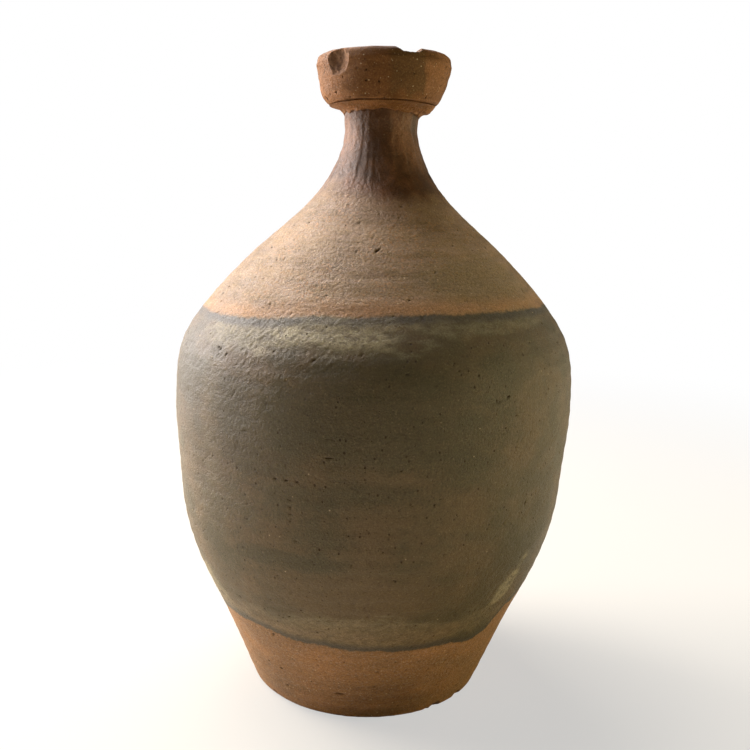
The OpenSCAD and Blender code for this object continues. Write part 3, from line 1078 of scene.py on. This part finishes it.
finish_piece(make_base_slab(), "base_slab", "foot_clay")
finish_piece(make_course("foot_course_clay", slab_seam, foot_seam), "foot_course", "foot_clay")
lower_belly = make_course("lower_belly_clay", foot_seam, lower_belly_seam)
finish_piece(lower_belly, "lower_belly_course", "iron_wash")
finish_piece(make_course("belly_clay", lower_belly_seam, belly_seam), "belly_course", "iron_wash")
upper_belly = make_course("upper_belly_clay", belly_seam, upper_belly_seam)
finish_piece(upper_belly, "upper_belly_course", "iron_wash")
shoulder = make_course("shoulder_clay", upper_belly_seam, shoulder_seam)
finish_piece(shoulder, "shoulder_course", "shoulder_clay")
finish_piece(make_neck(), "neck", "neck_clay")
finish_piece(make_collar(), "luting_collar", "mouth_clay")
finish_piece(make_cup(), "mouth_cup", "mouth_clay")

# -------------------------------------------------------------------------------------------- camera
# Fitted to the bottle's outline in the photo by a scratch program, and rounded.
SENSOR = 36.0                               # millimetres
LENS = 40.8                                 # millimetres
CAMERA_AT = Vector((0, -0.5512, 0.3047))
CAMERA_DOWN = math.radians(10.67)
CAMERA_ROLL = math.radians(1.11)


def make_camera():
    data = bpy.data.cameras.new("camera")
    data.sensor_width = SENSOR
    data.lens = LENS
    data.clip_start = 0.01
    camera = bpy.data.objects.new("camera", data)
    bpy.context.scene.collection.objects.link(camera)
    tilt = Matrix.Rotation(math.radians(90) - CAMERA_DOWN, 4, "X")
    roll = Matrix.Rotation(CAMERA_ROLL, 4, "Z")
    camera.matrix_world = Matrix.Translation(CAMERA_AT) @ tilt @ roll
    bpy.context.scene.camera = camera


# -------------------------------------------------------------------------------------------- studio
# The lamps began as a fit to the photo's shading, and were then changed.
AIM = Vector((0, 0, 0.2))           # what every lamp points at
FLOOR_RADIUS = 30
FLOOR_COLOUR = (0.64, 0.59, 0.48)


def lamp(name, angle, height, distance, size, power, colour):
    """A soft box at an angle from the front and a height above the floor."""
    data = bpy.data.lights.new(name, "AREA")
    data.shape = "RECTANGLE"
    data.size, data.size_y = size
    data.energy = power
    data.color = colour
    light = bpy.data.objects.new(name, data)
    light.location = polar(distance, height, angle)
    light.rotation_euler = (AIM - light.location).to_track_quat("-Z", "Y").to_euler()
    light.visible_camera = False
    bpy.context.scene.collection.objects.link(light)


def make_world():
    """Even white for the camera, and no light from it on anything."""
    world = bpy.data.worlds.new("studio")
    bpy.context.scene.world = world
    world.use_nodes = True
    g = Graph(world.node_tree)
    seen = g.node("LightPath").outputs["Is Camera Ray"]
    background = world.node_tree.nodes["Background"]
    g.plug(background.inputs["Strength"], seen)
    g.plug(background.inputs["Color"], (1.0, 1.0, 1.0))


def make_floor():
    """A wide disc of pale paper that fades to white away from the bottle."""
    ring = np.radians(np.arange(0, 360, 3))
    points = [(FLOOR_RADIUS * math.cos(v), FLOOR_RADIUS * math.sin(v), 0) for v in ring]
    mesh = bpy.data.meshes.new("floor")
    mesh.from_pydata(points, [], [list(range(len(points)))])
    floor = bpy.data.objects.new("floor", mesh)
    bpy.context.scene.collection.objects.link(floor)
    material, g, shader = new_material("floor_paper")
    g.plug(shader.inputs["Base Color"], FLOOR_COLOUR)
    g.plug(shader.inputs["Roughness"], 0.9)
    distance = g.node("VectorMath", {0: g.place()}, operation="LENGTH").outputs["Value"]
    pale = g.times(g.rise(distance, 0.15, 1.3, 0.55, 1.0), g.node("LightPath").outputs["Is Camera Ray"])
    white = g.node("Emission", {"Color": (1.0, 1.0, 1.0), "Strength": 1.0}).outputs[0]
    both = g.node("MixShader", {0: pale, 1: shader.outputs[0], 2: white}).outputs[0]
    g.plug(material.node_tree.nodes["Material Output"].inputs["Surface"], both)
    mesh.materials.append(material)


make_camera()
lamp("left_window", -113.5, 0.78, 1.4, (1.0, 1.3), 60, (1.0, 0.955, 0.95))
lamp("high_left", -95, 1.4, 0.8, (1.0, 1.0), 6, (1.0, 0.9, 0.82))
lamp("high_back", -150, 1.4, 0.65, (0.9, 0.9), 21, (1.0, 0.96, 0.98))
lamp("right_window", 88, 0.18, 1.4, (0.9, 0.7), 12, (1.0, 0.9, 0.52))
lamp("right_back", 130, 0.4, 1.5, (0.9, 1.0), 2, (1.0, 0.95, 0.8))
lamp("low_front", 12, 0.04, 1.0, (1.0, 0.25), 0.9, (1.0, 0.9, 0.7))
make_world()
make_floor()
bpy.context.scene.view_settings.view_transform = "Standard"
